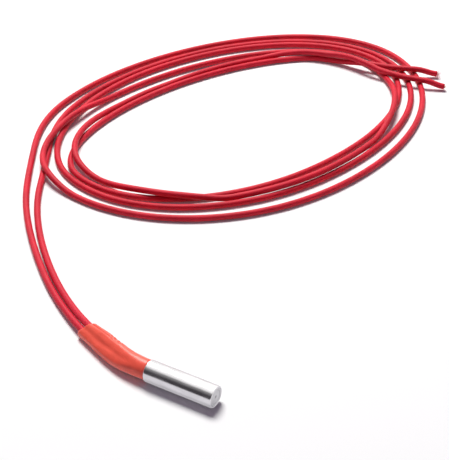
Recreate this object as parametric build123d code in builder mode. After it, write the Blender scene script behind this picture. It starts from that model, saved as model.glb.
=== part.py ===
from build123d import *

# A 6 mm cartridge heater with two insulated leads, at its real size in millimetres.
#
# X runs along the sheath, towards its closed end. Z is up and the floor is Z = 0, on which the
# sheath lies. The rigid heater, from its pins to its closed end, is centred on the origin in X.
# The leads leave at the open mouth, run along the floor and lie there in a loose oblong hank.
# Lead A is the lower, outer one of the pair and lead B the upper, inner one.

import os
from math import cos, pi, radians, sin, tan

# Sheath: a drawn stainless tube
sheath_length = 20.0
sheath_diameter = 6.0
sheath_wall = 0.5
tip_rounding = 0.35
mouth_chamfer = 0.1

# Radial clearance of what is pressed or packed into a bore
fit = 0.02

# End disc: a stamped disc welded into the closed end
disc_thickness = 1.0
disc_recess_diameter = 3.8
disc_recess_depth = 0.12
dimple_diameter = 1.0
dimple_depth = 0.25

# Ceramic that keeps the winding's far end off the end disc
insulator_thickness = 0.8

# Core: a ceramic rod with a bore for each pin
core_bore_clearance = 0.03
core_edge = 0.1

# Room at each end of the core, where the winding's tails cross to the pins
tail_room = 0.55

# Resistance wire, wound on the core: 105 mm of it has the 3.6 ohms of a 40 W heater for 12 V.
# It is six-sided here, which keeps the long sweep light.
wire_diameter = 0.2
wire_sides = 6
whole_turns = 8
cold_length = 1.1

# Tails of the winding: how far round they go, in degrees, and how they bend to the pins
tail_sweep = 58.0
tail_bend_share = 0.28
tail_lie_share = 0.56
tail_dip = 0.08
tail_lean = 12.0
tail_pull = 0.5
weld_clearance = 0.04

# Magnesia fill, packed between the winding and the sheath
fill_thickness = 0.33
fill_clearance = 0.08

# End plug: a ceramic bush in the mouth, with a neck that the outer sleeve is pushed over
plug_depth = 2.5
neck_length = 1.8
neck_margin = 0.04

# Pins: nickel rods through the plug, one short and one as long as the core
pin_diameter = 0.6
pin_reach = 2.4
short_pin_in_core = 2.6
long_pin_past_core = 0.4
pair_tilt = 40.0

# Crimps: stepped ferrules that join a pin to the bare strands of a lead
crimp_length = 4.8
crimp_wall = 0.215
crimp_gap = 0.3
crimp_bore_clearance = 0.03
crimp_notch_depth = 0.14
crimp_notch_radius = 0.45

# Bare strands: six laid round one, pressed a little into each other
strand_diameter = 0.27
strands_round_one = 6
strand_press = 0.005
strand_gap = 0.02
bare_length = 0.7

# Inner sleeve: thin braided tube over each crimp
inner_sleeve_wall = 0.28
inner_sleeve_clearance = 0.03
inner_sleeve_gap = 0.1
inner_sleeve_spacing = 0.08

# Leads: stranded wire with a round, soft cover
lead_diameter = 2.0
lead_gap = 0.04
lead_straight = 3.7
corner_share = 0.45

# Outer sleeve: round over the neck, and a slot where it holds the two leads. Each of its bends
# is a heading in degrees, a run and how far the run comes down to the floor.
sleeve_wall = 0.5
sleeve_bore_clearance = 0.1
sleeve_mouth_gap = 0.05
sleeve_bends = [(16.0, 6.9, 0.2), (31.0, 7.0, 0.5)]
sleeve_flat_overlap = 1.4
sleeve_taper_stations = 4
sleeve_round_share = 0.2
sleeve_mouth_spread = 0.2

# How far the leads hold their line past the sleeve's open end, before they bend on
lead_past_sleeve = 3.4

# Routes of the leads over the floor, from the sleeve to the hank, measured from the mouth
lying = (lead_diameter + lead_gap) / 2
run_a = [
    (-42.0, 15.5, lying), (-55.5, 26.5, lying), (-67.5, 38.0, lying), (-77.5, 49.5, lying),
    (-86.0, 62.5, lying),
]
run_b = [
    (-40.2, 18.0, 1.3), (-53.0, 28.8, lying), (-64.5, 40.5, lying), (-74.2, 52.2, lying),
    (-82.0, 65.0, lying),
]

# Hank: the outline that the loose turns keep to, as its reach each way from its middle
hank_middle = (-49.5, 123.0)
hank_heading = 67.0
hank_outer = {"near": 73.0, "top": 51.0, "far": 79.0, "bottom": 56.0}
hank_inner = {"near": 50.0, "top": 30.0, "far": 60.0, "bottom": 33.0}
hank_layers = 3
hank_bevel = 2.0

# Free ends, past the hank's far end, in the hank's own directions: along it, across it, up
tail_a = [(58.0, -15.0, lying), (67.0, -22.0, lying), (73.2, -28.6, lying)]
tail_b = [(60.0, -8.0, lying), (70.0, -14.0, lying), (77.5, -20.3, lying)]

# Sizes that follow from those above
strand_bundle = 3 * strand_diameter
crimp_diameter = strand_bundle + 2 * (crimp_bore_clearance + crimp_wall)
inner_sleeve_bore = crimp_diameter + 2 * inner_sleeve_clearance
inner_sleeve_diameter = inner_sleeve_bore + 2 * inner_sleeve_wall
pin_spacing = inner_sleeve_diameter + inner_sleeve_spacing
neck_diameter = pin_spacing + inner_sleeve_diameter + 2 * neck_margin
lead_start = neck_length + crimp_gap + crimp_length + bare_length
lead_spacing = lead_diameter + lead_gap
hank_height = hank_layers * lead_spacing
axis_height = sheath_diameter / 2
bore_radius = sheath_diameter / 2 - sheath_wall
winding_outer_radius = bore_radius - fit - fill_thickness - fill_clearance
winding_radius = winding_outer_radius - wire_diameter / 2
core_diameter = 2 * (winding_radius - wire_diameter / 2 - fit)

# Places along X
rigid_length = sheath_length + neck_length + pin_reach
mouth_x = neck_length + pin_reach - rigid_length / 2
tip_x = mouth_x + sheath_length
insulator_end = tip_x - disc_thickness - fit
insulator_start = insulator_end - insulator_thickness
core_start = mouth_x + plug_depth + tail_room
core_end = insulator_start - tail_room
winding_start = core_start + cold_length
winding_length = core_end - cold_length - winding_start
pin_outer_x = mouth_x - neck_length - pin_reach
crimp_start = mouth_x - neck_length - crimp_gap
lead_start_x = mouth_x - lead_start
tilt = radians(pair_tilt)
sheath_axis = Axis((0, 0, axis_height), (1, 0, 0))


def across(x):
    """The plane across the sheath at x, whose own x runs from pin to pin, towards lead B."""
    return Plane(origin=(x, 0, axis_height), x_dir=(0, cos(tilt), sin(tilt)), z_dir=(1, 0, 0))


def around_axis(x, radius, angle):
    """A point at x, at a radius from the sheath's axis and an angle from +Y towards +Z."""
    turn = radians(angle)
    return Vector(x, radius * cos(turn), axis_height + radius * sin(turn))


def straight_rod(x, length, diameter, side=0.0):
    """A round rod along X, set off from the axis along the line of the pins."""
    with BuildPart() as rod:
        with BuildSketch(across(x)):
            with Locations((side, 0)):
                Circle(diameter / 2)
        extrude(amount=length)
    return rod


def corner_radii(points):
    """The radii of a route's corners: each arc takes the same share of its shorter run."""
    radii = []
    for before, corner, after in zip(points, points[1:], points[2:]):
        run_in = Vector(*corner) - Vector(*before)
        run_out = Vector(*after) - Vector(*corner)
        half_turn = radians(run_in.get_angle(run_out)) / 2
        radii.append(corner_share * min(run_in.length, run_out.length) / tan(half_turn))
    return radii


def cord(name, points, cut_by=None):
    """A round cord along straight runs joined by arcs, less the solid that it runs into."""
    radii = corner_radii(points)
    with BuildPart() as tube:
        with BuildLine() as route:
            FilletPolyline(*points, radius=radii)
        path = route.wires()[0]
        with BuildSketch(Plane(origin=path @ 0, z_dir=path % 0)):
            Circle(lead_diameter / 2)
        sweep(path=path)
        whole = tube.part.volume
        if cut_by is not None:
            add(cut_by.part, mode=Mode.SUBTRACT)
    expected = pi * lead_diameter**2 / 4 * path.length
    print(name, "radii", [round(r, 1) for r in radii], "length", round(path.length, 1),
          "volume over section x length", round(whole / expected, 4))
    return tube


def sleeve_corners():
    """The corners of the outer sleeve's centre line, from the mouth to its open end."""
    mouth = Vector(mouth_x - sleeve_mouth_gap, 0, axis_height)
    corners = [mouth, mouth - Vector(lead_start + lead_straight, 0, 0)]
    for heading, run, drop in sleeve_bends:
        turn = radians(heading)
        corners.append(corners[-1] + Vector(-run * cos(turn), run * sin(turn), -drop))
    return corners


def pair_direction(along):
    """Across a direction of travel, from lead A to lead B, as the pair of leads is tilted."""
    level = Vector(along.Y, -along.X, 0).normalized()
    upward = level.cross(along).normalized()
    return level * cos(tilt) + upward * sin(tilt)


sleeve_points = sleeve_corners()


def lead_points_in_sleeve(side):
    """A lead's points inside the sleeve, on side -1 for lead A and +1 for lead B."""
    first = Vector(lead_start_x, 0, axis_height)
    last_run = (sleeve_points[-1] - sleeve_points[-2]).normalized()
    last = sleeve_points[-1] + last_run * lead_past_sleeve
    centres = [first] + sleeve_points[1:-1] + [last]
    runs = [(after - before).normalized() for before, after in zip(centres, centres[1:])]
    points = []
    for centre, into, out in zip(centres, runs[:1] + runs, runs + runs[-1:]):
        along = (into + out).normalized()
        points.append(centre + pair_direction(along) * (side * lead_spacing / 2))
    return [tuple(point) for point in points]


def from_mouth(points):
    """Route points measured from the mouth, put in the part's frame."""
    return [(mouth_x + x, y, z) for x, y, z in points]


hank_plane = Plane(
    origin=(mouth_x + hank_middle[0], hank_middle[1], 0),
    x_dir=(cos(radians(hank_heading)), sin(radians(hank_heading)), 0),
    z_dir=(0, 0, 1),
)


def from_hank(points):
    """Route points in the hank's own directions, put in the part's frame."""
    return [tuple(hank_plane.from_local_coords(Vector(*point))) for point in points]


def hank_outline(reach):
    """A closed outline of four quarter ellipses, by its reach each way from the middle."""
    quarters = [("far", "top", 0), ("near", "top", 90), ("near", "bottom", 180), ("far", "bottom", 270)]
    with BuildLine() as outline:
        for end, side, start in quarters:
            EllipticalCenterArc((0, 0), reach[end], reach[side], start_angle=start, arc_size=90)
    return outline


# Sheath
with BuildPart() as sheath:
    with BuildSketch(across(mouth_x)):
        Circle(sheath_diameter / 2)
        Circle(bore_radius, mode=Mode.SUBTRACT)
    extrude(amount=sheath_length)
    rims = sheath.edges().filter_by(GeomType.CIRCLE).group_by(Axis.X)
    fillet(rims[-1].sort_by(SortBy.RADIUS)[-1], tip_rounding)
    chamfer(rims[0], mouth_chamfer)
sheath.part.label = "sheath"

# End disc, dished where the weld ring ends, with a punch mark in its middle
with BuildPart() as end_disc:
    disc_radius = bore_radius - fit
    recess_x = tip_x - disc_recess_depth
    with BuildSketch(Plane(origin=(0, 0, axis_height), x_dir=(1, 0, 0), z_dir=(0, -1, 0))):
        with BuildLine():
            Polyline(
                (tip_x - disc_thickness, 0),
                (tip_x - disc_thickness, disc_radius),
                (tip_x, disc_radius),
                (tip_x, disc_recess_diameter / 2 + disc_recess_depth),
                (recess_x, disc_recess_diameter / 2),
                (recess_x, dimple_diameter / 2),
                (recess_x - dimple_depth, 0),
                close=True,
            )
        make_face()
    revolve(axis=sheath_axis)
end_disc.part.label = "end_disc"

# Bottom insulator
bottom_insulator = straight_rod(insulator_start, insulator_thickness, 2 * (bore_radius - fit))
bottom_insulator.part.label = "bottom_insulator"

# Core, with a bore for each pin
pin_places = [(-pin_spacing / 2, 0), (pin_spacing / 2, 0)]
with BuildPart() as core:
    with BuildSketch(across(core_start)):
        Circle(core_diameter / 2)
        with Locations(*pin_places):
            Circle(pin_diameter / 2 + core_bore_clearance, mode=Mode.SUBTRACT)
    extrude(amount=core_end - core_start)
    core_rims = core.edges().filter_by(GeomType.CIRCLE).filter_by(
        lambda edge: edge.radius > core_diameter / 2 - fit)
    chamfer(core_rims, core_edge)
core.part.label = "core"

# Resistance wire: a helix on the core, whose tails bend over the core's ends to the pins
tail_x = tail_room / 2
weld_radius = pin_spacing / 2 + pin_diameter / 2 + weld_clearance
coil_start_angle = 90.0
far_pin_angle = pair_tilt + 180
coil_end_angle = far_pin_angle - tail_sweep
winding_turns = whole_turns + (coil_end_angle - coil_start_angle) / 360


def tail_points(core_face, inward, pin_angle, coil_angle):
    """A tail's points, from the side of its pin to where it lies on the core."""
    sweep_angle = coil_angle - pin_angle
    outside = core_face - inward * tail_x
    inside = core_face + inward * cold_length / 4
    return [
        around_axis(outside, weld_radius, pin_angle),
        around_axis(outside, winding_radius - tail_dip, pin_angle + tail_bend_share * sweep_angle),
        around_axis(inside, winding_radius, pin_angle + tail_lie_share * sweep_angle),
    ]


near_tail = tail_points(core_start, 1, pair_tilt, coil_start_angle)
far_tail = tail_points(core_end, -1, far_pin_angle, coil_end_angle)
out_of_pin = around_axis(0, 1, pair_tilt + tail_lean) - around_axis(0, 0, 0)
into_pin = around_axis(0, 0, 0) - around_axis(0, 1, far_pin_angle - tail_lean)
with BuildPart() as resistance_wire:
    with BuildLine() as winding_path:
        coil = Helix(
            pitch=winding_length / winding_turns,
            height=winding_length,
            radius=winding_radius,
            center=(winding_start, 0, axis_height),
            direction=(1, 0, 0),
        )
        Spline(*near_tail, coil @ 0, tangents=(out_of_pin, coil % 0), tangent_scalars=(tail_pull, 1))
        Spline(
            coil @ 1,
            *reversed(far_tail),
            tangents=(coil % 1, into_pin),
            tangent_scalars=(1, tail_pull),
        )
    winding_wire = winding_path.wires()[0]
    with BuildSketch(Plane(origin=winding_wire @ 0, z_dir=winding_wire % 0)):
        RegularPolygon(wire_diameter / 2, wire_sides)
    sweep(path=winding_wire)
resistance_wire.part.label = "resistance_wire"

# Magnesia fill between the winding and the sheath
with BuildPart() as magnesia_fill:
    with BuildSketch(across(core_start)):
        Circle(bore_radius - fit)
        Circle(winding_outer_radius + fill_clearance, mode=Mode.SUBTRACT)
    extrude(amount=core_end - core_start)
magnesia_fill.part.label = "magnesia_fill"

# End plug, with its neck
with BuildPart() as end_plug:
    with BuildSketch(across(mouth_x)):
        Circle(bore_radius - fit)
    extrude(amount=plug_depth)
    with BuildSketch(across(mouth_x - neck_length)):
        Circle(neck_diameter / 2)
    extrude(amount=neck_length)
    chamfer(end_plug.edges().filter_by(GeomType.CIRCLE).group_by(Axis.X)[0], core_edge)
    with BuildSketch(across(mouth_x - neck_length)):
        with Locations(*pin_places):
            Circle(pin_diameter / 2 + core_bore_clearance)
    extrude(amount=neck_length + plug_depth, mode=Mode.SUBTRACT)
end_plug.part.label = "end_plug"

# Pins: A is the long one, which carries the far end of the winding
pin_a_length = core_end + long_pin_past_core - pin_outer_x
pin_b_length = core_start + short_pin_in_core - pin_outer_x
pins = {
    "a": straight_rod(pin_outer_x, pin_a_length, pin_diameter, -pin_spacing / 2),
    "b": straight_rod(pin_outer_x, pin_b_length, pin_diameter, pin_spacing / 2),
}
for letter, pin in pins.items():
    pin.part.label = "pin_" + letter


# Crimps, bored in two steps and notched where the tool closed them
def crimp(side):
    """One ferrule: its wide bore takes the strands and its narrow bore the pin."""
    outer_x = crimp_start - crimp_length
    step_x = pin_outer_x - crimp_bore_clearance
    with BuildPart() as ferrule:
        with BuildSketch(across(outer_x)):
            with Locations((side, 0)):
                Circle(crimp_diameter / 2)
        extrude(amount=crimp_length)
        with BuildSketch(across(outer_x)):
            with Locations((side, 0)):
                Circle(strand_bundle / 2 + crimp_bore_clearance)
        extrude(amount=step_x - outer_x, mode=Mode.SUBTRACT)
        with BuildSketch(across(step_x)):
            with Locations((side, 0)):
                Circle(pin_diameter / 2 + crimp_bore_clearance)
        extrude(amount=crimp_start - step_x, mode=Mode.SUBTRACT)
        for notch_x in ((crimp_start + step_x) / 2, (step_x + outer_x) / 2):
            notch_plane = Plane(
                origin=across(notch_x).from_local_coords((side, 0, 0)),
                x_dir=(1, 0, 0),
                z_dir=(0, cos(tilt), sin(tilt)),
            )
            notch_offset = crimp_diameter / 2 + crimp_notch_radius - crimp_notch_depth
            with BuildSketch(notch_plane):
                with Locations((0, notch_offset), (0, -notch_offset)):
                    Circle(crimp_notch_radius)
            extrude(amount=crimp_diameter, both=True, mode=Mode.SUBTRACT)
    return ferrule


# Bare strands: six laid round one, from inside the crimp to the lead's cover
def strands(side):
    """The bare end of a lead's conductor."""
    inner_x = pin_outer_x - 2 * crimp_bore_clearance
    outer_x = lead_start_x + strand_gap
    with BuildPart() as bundle:
        with BuildSketch(across(outer_x)):
            with Locations((side, 0)):
                Circle(strand_diameter / 2)
                with PolarLocations(strand_diameter - strand_press, strands_round_one):
                    Circle(strand_diameter / 2)
        extrude(amount=inner_x - outer_x)
    return bundle


# Inner sleeves
def inner_sleeve(side):
    """The thin tube over one crimp, from the plug's neck to the lead's cover."""
    outer_x = lead_start_x + inner_sleeve_gap
    inner_x = mouth_x - neck_length - inner_sleeve_gap
    with BuildPart() as tube:
        with BuildSketch(across(outer_x)):
            with Locations((side, 0)):
                Circle(inner_sleeve_diameter / 2)
                Circle(inner_sleeve_bore / 2, mode=Mode.SUBTRACT)
        extrude(amount=inner_x - outer_x)
    return tube


sides = {"a": -pin_spacing / 2, "b": pin_spacing / 2}
crimps = {letter: crimp(side) for letter, side in sides.items()}
bare_strands = {letter: strands(side) for letter, side in sides.items()}
inner_sleeves = {letter: inner_sleeve(side) for letter, side in sides.items()}
for letter in sides:
    crimps[letter].part.label = "crimp_" + letter
    bare_strands[letter].part.label = "strands_" + letter
    inner_sleeves[letter].part.label = "inner_sleeve_" + letter

# Outer sleeve: lofted from its nearly round mouth to a slot, which then follows the leads
round_bore = neck_diameter / 2 + sleeve_bore_clearance
flat_bore = lead_diameter / 2 + sleeve_bore_clearance
flat_half = lead_spacing / 2
taper_end = sleeve_points[0] - Vector(lead_start + sleeve_flat_overlap, 0, 0)


def taper_section(share, extra):
    """The sleeve's cross-section at a share of its taper, this much wider than its bore."""
    eased = max(share - sleeve_round_share, 0) / (1 - sleeve_round_share)
    flatness = (1 - cos(pi * eased)) / 2
    radius = round_bore + (flat_bore - round_bore) * flatness + extra
    spread = max(flat_half * flatness, sleeve_mouth_spread)
    centre = sleeve_points[0] + (taper_end - sleeve_points[0]) * share
    with BuildSketch(across(centre.X)) as section:
        SlotCenterToCenter(2 * spread, 2 * radius)
    return section.sketch


def sleeve_form(extra):
    """The solid inside a skin this much outside the sleeve's bore, from end to end."""
    shares = [station / (sleeve_taper_stations - 1) for station in range(sleeve_taper_stations)]
    with BuildPart() as form:
        loft([taper_section(share, extra) for share in shares], ruled=True)
        with BuildLine() as centre_line:
            FilletPolyline(
                *[tuple(point) for point in [taper_end] + sleeve_points[1:]],
                radius=corner_radii(lead_points_in_sleeve(0)),
            )
        with BuildSketch(across(taper_end.X)):
            SlotCenterToCenter(2 * flat_half, 2 * (flat_bore + extra))
        sweep(path=centre_line.wires()[0])
    return form


sleeve_bore = sleeve_form(0.0)
with BuildPart() as sleeve:
    add(sleeve_form(sleeve_wall).part)
    add(sleeve_bore.part, mode=Mode.SUBTRACT)
sleeve.part.label = "sleeve"

# Hank: the space that the loose turns of both leads take
with BuildPart() as hank:
    with BuildSketch(hank_plane):
        make_face(hank_outline(hank_outer).edges())
        make_face(hank_outline(hank_inner).edges(), mode=Mode.SUBTRACT)
    extrude(amount=hank_height)
    chamfer(hank.edges().group_by(Axis.Z)[-1], hank_bevel)
hank.part.label = "hank"

# Leads, from the crimps to the hank, and their free ends past it
lead_runs = {
    "a": cord("lead_a_run", lead_points_in_sleeve(-1) + from_mouth(run_a), hank),
    "b": cord("lead_b_run", lead_points_in_sleeve(1) + from_mouth(run_b), hank),
}
lead_tails = {
    "a": cord("lead_a_tail", from_hank(tail_a), hank),
    "b": cord("lead_b_tail", from_hank(tail_b), hank),
}
for letter in sides:
    lead_runs[letter].part.label = f"lead_{letter}_run"
    lead_tails[letter].part.label = f"lead_{letter}_tail"

os.makedirs("parts", exist_ok=True)
export_step(sheath.part, "parts/sheath.step")
export_step(end_disc.part, "parts/end_disc.step")
export_step(bottom_insulator.part, "parts/bottom_insulator.step")
export_step(core.part, "parts/core.step")
export_step(resistance_wire.part, "parts/resistance_wire.step")
export_step(magnesia_fill.part, "parts/magnesia_fill.step")
export_step(end_plug.part, "parts/end_plug.step")
export_step(sleeve.part, "parts/sleeve.step")
export_step(hank.part, "parts/hank.step")
for letter in sides:
    export_step(pins[letter].part, f"parts/pin_{letter}.step")
    export_step(crimps[letter].part, f"parts/crimp_{letter}.step")
    export_step(bare_strands[letter].part, f"parts/strands_{letter}.step")
    export_step(inner_sleeves[letter].part, f"parts/inner_sleeve_{letter}.step")
    export_step(lead_runs[letter].part, f"parts/lead_{letter}_run.step")
    export_step(lead_tails[letter].part, f"parts/lead_{letter}_tail.step")
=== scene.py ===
from math import atan2, cos, exp, pi, radians, sin

import bpy
import numpy as np
from mathutils import Euler, Matrix, Vector, noise


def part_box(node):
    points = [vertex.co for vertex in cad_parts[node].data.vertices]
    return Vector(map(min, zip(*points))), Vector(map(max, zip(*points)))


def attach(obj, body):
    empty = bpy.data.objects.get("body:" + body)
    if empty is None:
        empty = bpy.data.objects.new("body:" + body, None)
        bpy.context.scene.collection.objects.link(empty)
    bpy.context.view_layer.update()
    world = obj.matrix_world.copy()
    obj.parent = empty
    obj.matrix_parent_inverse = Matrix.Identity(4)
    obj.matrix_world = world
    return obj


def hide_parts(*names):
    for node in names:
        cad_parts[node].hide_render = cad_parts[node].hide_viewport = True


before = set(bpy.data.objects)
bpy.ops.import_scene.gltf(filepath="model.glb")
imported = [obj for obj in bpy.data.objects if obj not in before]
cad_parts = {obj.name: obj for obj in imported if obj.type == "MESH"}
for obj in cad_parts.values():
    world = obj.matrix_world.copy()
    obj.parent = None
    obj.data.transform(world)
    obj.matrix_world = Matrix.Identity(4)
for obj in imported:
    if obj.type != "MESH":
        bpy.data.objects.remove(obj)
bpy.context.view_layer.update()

bl_info = {
    "name": "Cartridge heater",
    "version": (1, 0, 0),
    "blender": (4, 5, 0),
    "location": "3D View > Sidebar > Heater",
    "description": "Dresses a small cartridge heater with its sleeve and its two leads",
    "category": "Object",
}

BODY = "root"
MM = 0.001

# Places on the heater, in metres along its axis, and the height of that axis
MOUTH_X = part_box("sheath")[0].x
TIP_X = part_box("sheath")[1].x
AXIS_HEIGHT = (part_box("sheath")[0].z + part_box("sheath")[1].z) / 2

# Route of lead A: out of its crimp, through the sleeve and over the floor to the hank
ROUTE_A = [
    (-0.0155, -0.00078, 0.00234), (-0.0165, -0.00065, 0.00236), (-0.0232, 0.00200, 0.00222),
    (-0.0349, 0.0065, 0.0016), (-0.0499, 0.0155, 0.00102), (-0.0634, 0.0265, 0.00102),
    (-0.0754, 0.038, 0.00102), (-0.0854, 0.0495, 0.00102), (-0.0939, 0.0625, 0.00102),
]

# Route of lead B, which lies above lead A in the sleeve and inside it on the floor
ROUTE_B = [
    (-0.0155, 0.00078, 0.00366), (-0.0163, 0.00090, 0.00368), (-0.0226, 0.00346, 0.00353),
    (-0.0341, 0.0079, 0.00295), (-0.0486, 0.0174, 0.0013), (-0.0617, 0.0281, 0.00102),
    (-0.0732, 0.0397, 0.00102), (-0.0826, 0.0517, 0.00102), (-0.0899, 0.065, 0.00102),
]

# The hank's middle and heading, and how far each lead's turns reach from that middle: its near
# end, its top side, its far end, its bottom side, and so on round, in metres
HANK_MIDDLE = Vector((-0.0574, 0.123))
HANK_HEADING = radians(67)
REACH_A = (0.072, 0.0497, 0.0755, 0.0559, 0.0681, 0.0375, 0.0637, 0.0481, 0.0567, 0.0313, 0.0655)
REACH_B = (0.068, 0.045, 0.0726, 0.0491, 0.0626, 0.0428, 0.0692, 0.0431, 0.0595, 0.0288, 0.0615)
POINTS_A_QUARTER = 4
FIRST_QUARTER = 0.3
LAST_QUARTER = 9.6
LYING = 0.00102

# How uneven the turns are, as a share of their reach, and where each lead's unevenness starts
WANDER = 0.008
PHASE_A = 2.6
PHASE_B = 4.6

# Free ends, along the hank and across it
END_A = [(0.057, 0.008), (0.060, -0.008), (0.066, -0.0205), (0.0732, -0.0286)]
END_B = [(0.054, 0.013), (0.061, -0.003), (0.069, -0.0135), (0.0775, -0.0203)]

# How the turns settle on each other: the distance between a lead's points, how far a hump reaches
# each way, how far along itself a lead is its own neighbour, how much later lead B was laid, how
# often heights are worked out again, and what is left of a hump's height at a free end
LEAD_STEP = 0.0008
HUMP_REACH = 0.016
OWN_STRETCH = 0.01
LAID_LATER = 0.006
SETTLE_ROUNDS = 14
END_DROOP = 0.2

# Cut ends: how far the strands stand out and reach back into the lead, and their twist
STRANDS_LENGTH = 0.0016
STRANDS_BACK = 0.0011
STRANDS_TWIST = 1.1

# Frayed yarn: how many fibres each end has and how long, and their ring, thickness, lean and start
FRAYS = {"a": (26, 0.0011), "b": (48, 0.0023)}
FRAY_RADIUS = 0.00066
FIBRE_DIAMETER = 0.00007
FIBRE_LEAN = 0.85
FRAY_BACK = 0.0003

# How near the floor a loose fibre may come
LOWEST = 0.00004

# Corners of the sleeve's centre line, from the mouth to its open end
SLEEVE_ROUTE = [
    (-0.00795, 0.0, 0.003), (-0.0153, 0.0, 0.00303), (-0.0228, 0.00270, 0.00288),
    (-0.0316, 0.0061, 0.00235),
]

# The sleeve's rings and section: the distance between rings, the section's tilt round the centre
# line, where along the sleeve it starts to flatten and over what length, and how far from the open
# end it is widest
SLEEVE_STEP = 0.00022
SLEEVE_TILT = radians(40)
FLATTEN_START = 0.0016
FLATTEN_LENGTH = 0.0105
WIDEST_FROM_END = 0.009

# Half the width of the flat between the section's two round edges: at the mouth, what flattening
# adds, and what is added where it is widest
FLAT_AT_MOUTH = 0.0002
FLAT_ADDED = 0.0008
FLAT_WIDEST = 0.0005

# The dent between the two leads, as a share of the height and by its width
DENT_DEPTH = 0.1
DENT_WIDTH = 0.0006

# How uneven the sleeve's skin is, and in how many waves a metre
SKIN_UNEVEN = 0.00005
SKIN_WAVES = 420

# The sleeve's open end: how far back its oblique cut starts, how far it leans over this reach, and
# how ragged it is
CUT_LENGTH = 0.006
CUT_LEAN = 0.0012
CUT_REACH = 0.0026
CUT_RAGGED = 0.00015

# How far from each end of the sleeve its edge is rounded, and by how much
OPEN_ROUNDING = (0.00025, 0.00008)
MOUTH_ROUNDING = (0.0005, 0.00022)

# Long creases: their start and end from the open end, their angle round the sleeve, their width and
# strength, and how their angle changes along the sleeve
CREASES = [
    (0.0, 0.014, radians(-36), 0.10, 0.95, -26.0),
    (0.0035, 0.0125, radians(-98), 0.11, 0.45, 12.0),
    (0.002, 0.017, radians(-152), 0.17, 0.5, 6.0),
    (0.0, 0.011, radians(64), 0.14, 0.8, 9.0),
    (0.005, 0.018, radians(118), 0.13, 0.6, -14.0),
]

# Short creases across the inside of the bend: their place from the mouth, width and strength, the
# angle round the sleeve where that inside is, and how much the creases lean
WAVES = [(0.0121, 0.0004, 0.34), (0.0136, 0.00035, 0.42), (0.0152, 0.0004, 0.3)]
INSIDE_OF_BEND = radians(-14)
WAVE_LEAN = 0.0005

# The sheath's mouth chamfer, and the end disc: its thickness, the radius of its shallow recess, the
# recess's depth and the punch mark's depth
MOUTH_CHAMFER = 0.0001
DISC_THICKNESS = 0.001
RECESS_RADIUS = 0.0019
RECESS_DEPTH = 0.00012
DIMPLE_DEPTH = 0.00035

# Marks of turning on the end disc, and the width of the painted shade line at the edge of its recess
TURNING_PITCH = 0.00021
GROOVE_SHADE_WIDTH = 0.00016

# The leads' braid: its pitch in millimetres, and its yarns round a lead and in each pitch
BRAID_PITCH = 2.6
YARNS_ROUND = 9
YARNS_A_PITCH = 3

# The camera and the lamp
CAMERA_PLACE = (0.143652, -0.219234, 0.233)
CAMERA_LENS = 107.0
CAMERA_SENSOR = 36.0
LAMP_AIM = Vector((-0.03, 0.06, 0.0))
LAMP_AWAY = Vector((-0.36, 0.42, 0.95))
LAMP_SIZE = 0.5
LAMP_COLOUR = (0.99, 1.0, 0.97)

# The room as metal sees it, and the tint of the sky that lights the rest
BRIGHT_SIDE = (1.42, 1.42, 1.36, 1.0)
DARK_SIDE = (0.07, 0.065, 0.07, 1.0)
SKY_TINT = (1.06, 0.84, 1.18)

# The floor: how far it reaches, the middle of the part that shows shadows, how far from there it
# starts to be plain white and is so, and how much whiter metal sees the part between
FLOOR_REACH = 3.0
FLOOR_MIDDLE = (-0.05, 0.1, 0.0)
SHADOWS_TO = 0.135
WHITE_FROM = 0.26
WHITER_IN_METAL = 0.6
FLOOR_GLOW = (0.025, 0.025, 0.025, 1.0)
WHITE = (1.0, 1.0, 1.0, 1.0)


class HeaterSheathSizes(bpy.types.PropertyGroup):
    """Sizes of the steel sheath and its end disc"""

    sheath_diameter: bpy.props.FloatProperty(
        name="Sheath diameter", description="Outside diameter of the tube",
        default=0.006, unit="LENGTH", precision=5,
    )
    sheath_wall: bpy.props.FloatProperty(
        name="Sheath wall", description="Thickness of the tube's wall",
        default=0.0005, unit="LENGTH", precision=5,
    )
    tip_rounding: bpy.props.FloatProperty(
        name="Tip rounding", description="Radius of the closed end's rim",
        default=0.00035, unit="LENGTH", precision=5,
    )
    dimple_diameter: bpy.props.FloatProperty(
        name="Punch mark", description="Diameter of the punch mark in the end disc",
        default=0.001, unit="LENGTH", precision=5,
    )
    steel_colour: bpy.props.FloatVectorProperty(
        name="Steel", description="Colour of the drawn stainless steel",
        default=(0.66, 0.645, 0.68), subtype="COLOR",
    )


class HeaterSleeveSizes(bpy.types.PropertyGroup):
    """Sizes and colour of the outer sleeve"""

    wall: bpy.props.FloatProperty(
        name="Wall", description="Thickness of the sleeve's wall",
        default=0.0005, unit="LENGTH", precision=5,
    )
    round_bore: bpy.props.FloatProperty(
        name="Round bore", description="Radius of the bore at the mouth",
        default=0.00208, unit="LENGTH", precision=5,
    )
    flat_bore: bpy.props.FloatProperty(
        name="Flat bore", description="Half the clear height where the sleeve lies flat",
        default=0.00117, unit="LENGTH", precision=5,
    )
    crease_depth: bpy.props.FloatProperty(
        name="Creases", description="Depth of the creases in the sleeve",
        default=0.0003, unit="LENGTH", precision=5,
    )
    colour: bpy.props.FloatVectorProperty(
        name="Sleeve", description="Colour of the soft sleeve",
        default=(0.96, 0.107, 0.066), subtype="COLOR",
    )


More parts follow.
